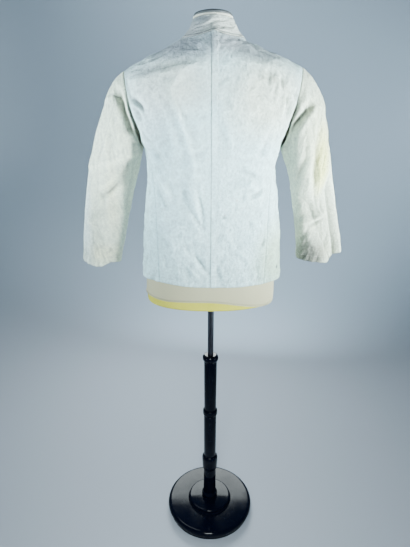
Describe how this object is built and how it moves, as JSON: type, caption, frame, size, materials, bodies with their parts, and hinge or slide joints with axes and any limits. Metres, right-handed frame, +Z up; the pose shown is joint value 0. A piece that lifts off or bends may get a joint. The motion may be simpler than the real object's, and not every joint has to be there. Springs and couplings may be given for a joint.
{
  "type": "summer jacket on dress form",
  "caption": "Short cotton jacket with a standing collar and set-in sleeves, buttoned on a limbless dress form that slides up and down in a turned stand.",
  "frame": {"origin": "centre of the base's underside, on the floor", "axes": "+Z up along the pole; the jacket's front faces -Y and its back +Y; the wearer's left is at +X"},
  "size_m": [0.7331, 0.2918, 1.5313],
  "materials": {
    "cotton": "off-white cotton twill",
    "sleeve_cotton": "cream cotton twill",
    "button": "satin",
    "jersey": "beige jersey",
    "foam": "open yellow foam",
    "neck_cap": "dark grey satin",
    "lacquer": "black gloss lacquer",
    "chrome": "polished"
  },
  "bodies": {
    "stand": {"stand_base": "lacquer", "stand_foot": "lacquer", "stand_ring_low": "lacquer", "stand_column_low": "lacquer", "stand_ring_middle": "lacquer", "stand_column_high": "lacquer", "stand_ring_top": "lacquer"},
    "form": {"pole": "chrome", "form_foam": "foam", "form_cover": "jersey", "neck_cap": "neck_cap", "back_left": "cotton", "back_right": "cotton", "front_left": "cotton", "front_right": "cotton", "collar": "cotton", "sleeve_left_top": "sleeve_cotton", "sleeve_left_under": "sleeve_cotton", "sleeve_right_top": "sleeve_cotton", "sleeve_right_under": "sleeve_cotton", "button_1": "button", "button_2": "button", "button_3": "button", "button_4": "button", "button_5": "button"}
  },
  "joints": [
    {"name": "pole_height", "type": "slide", "parent": "stand", "child": "form", "axis": [0, 0, 1], "range_m": [-0.15, 0.2]}
  ]
}
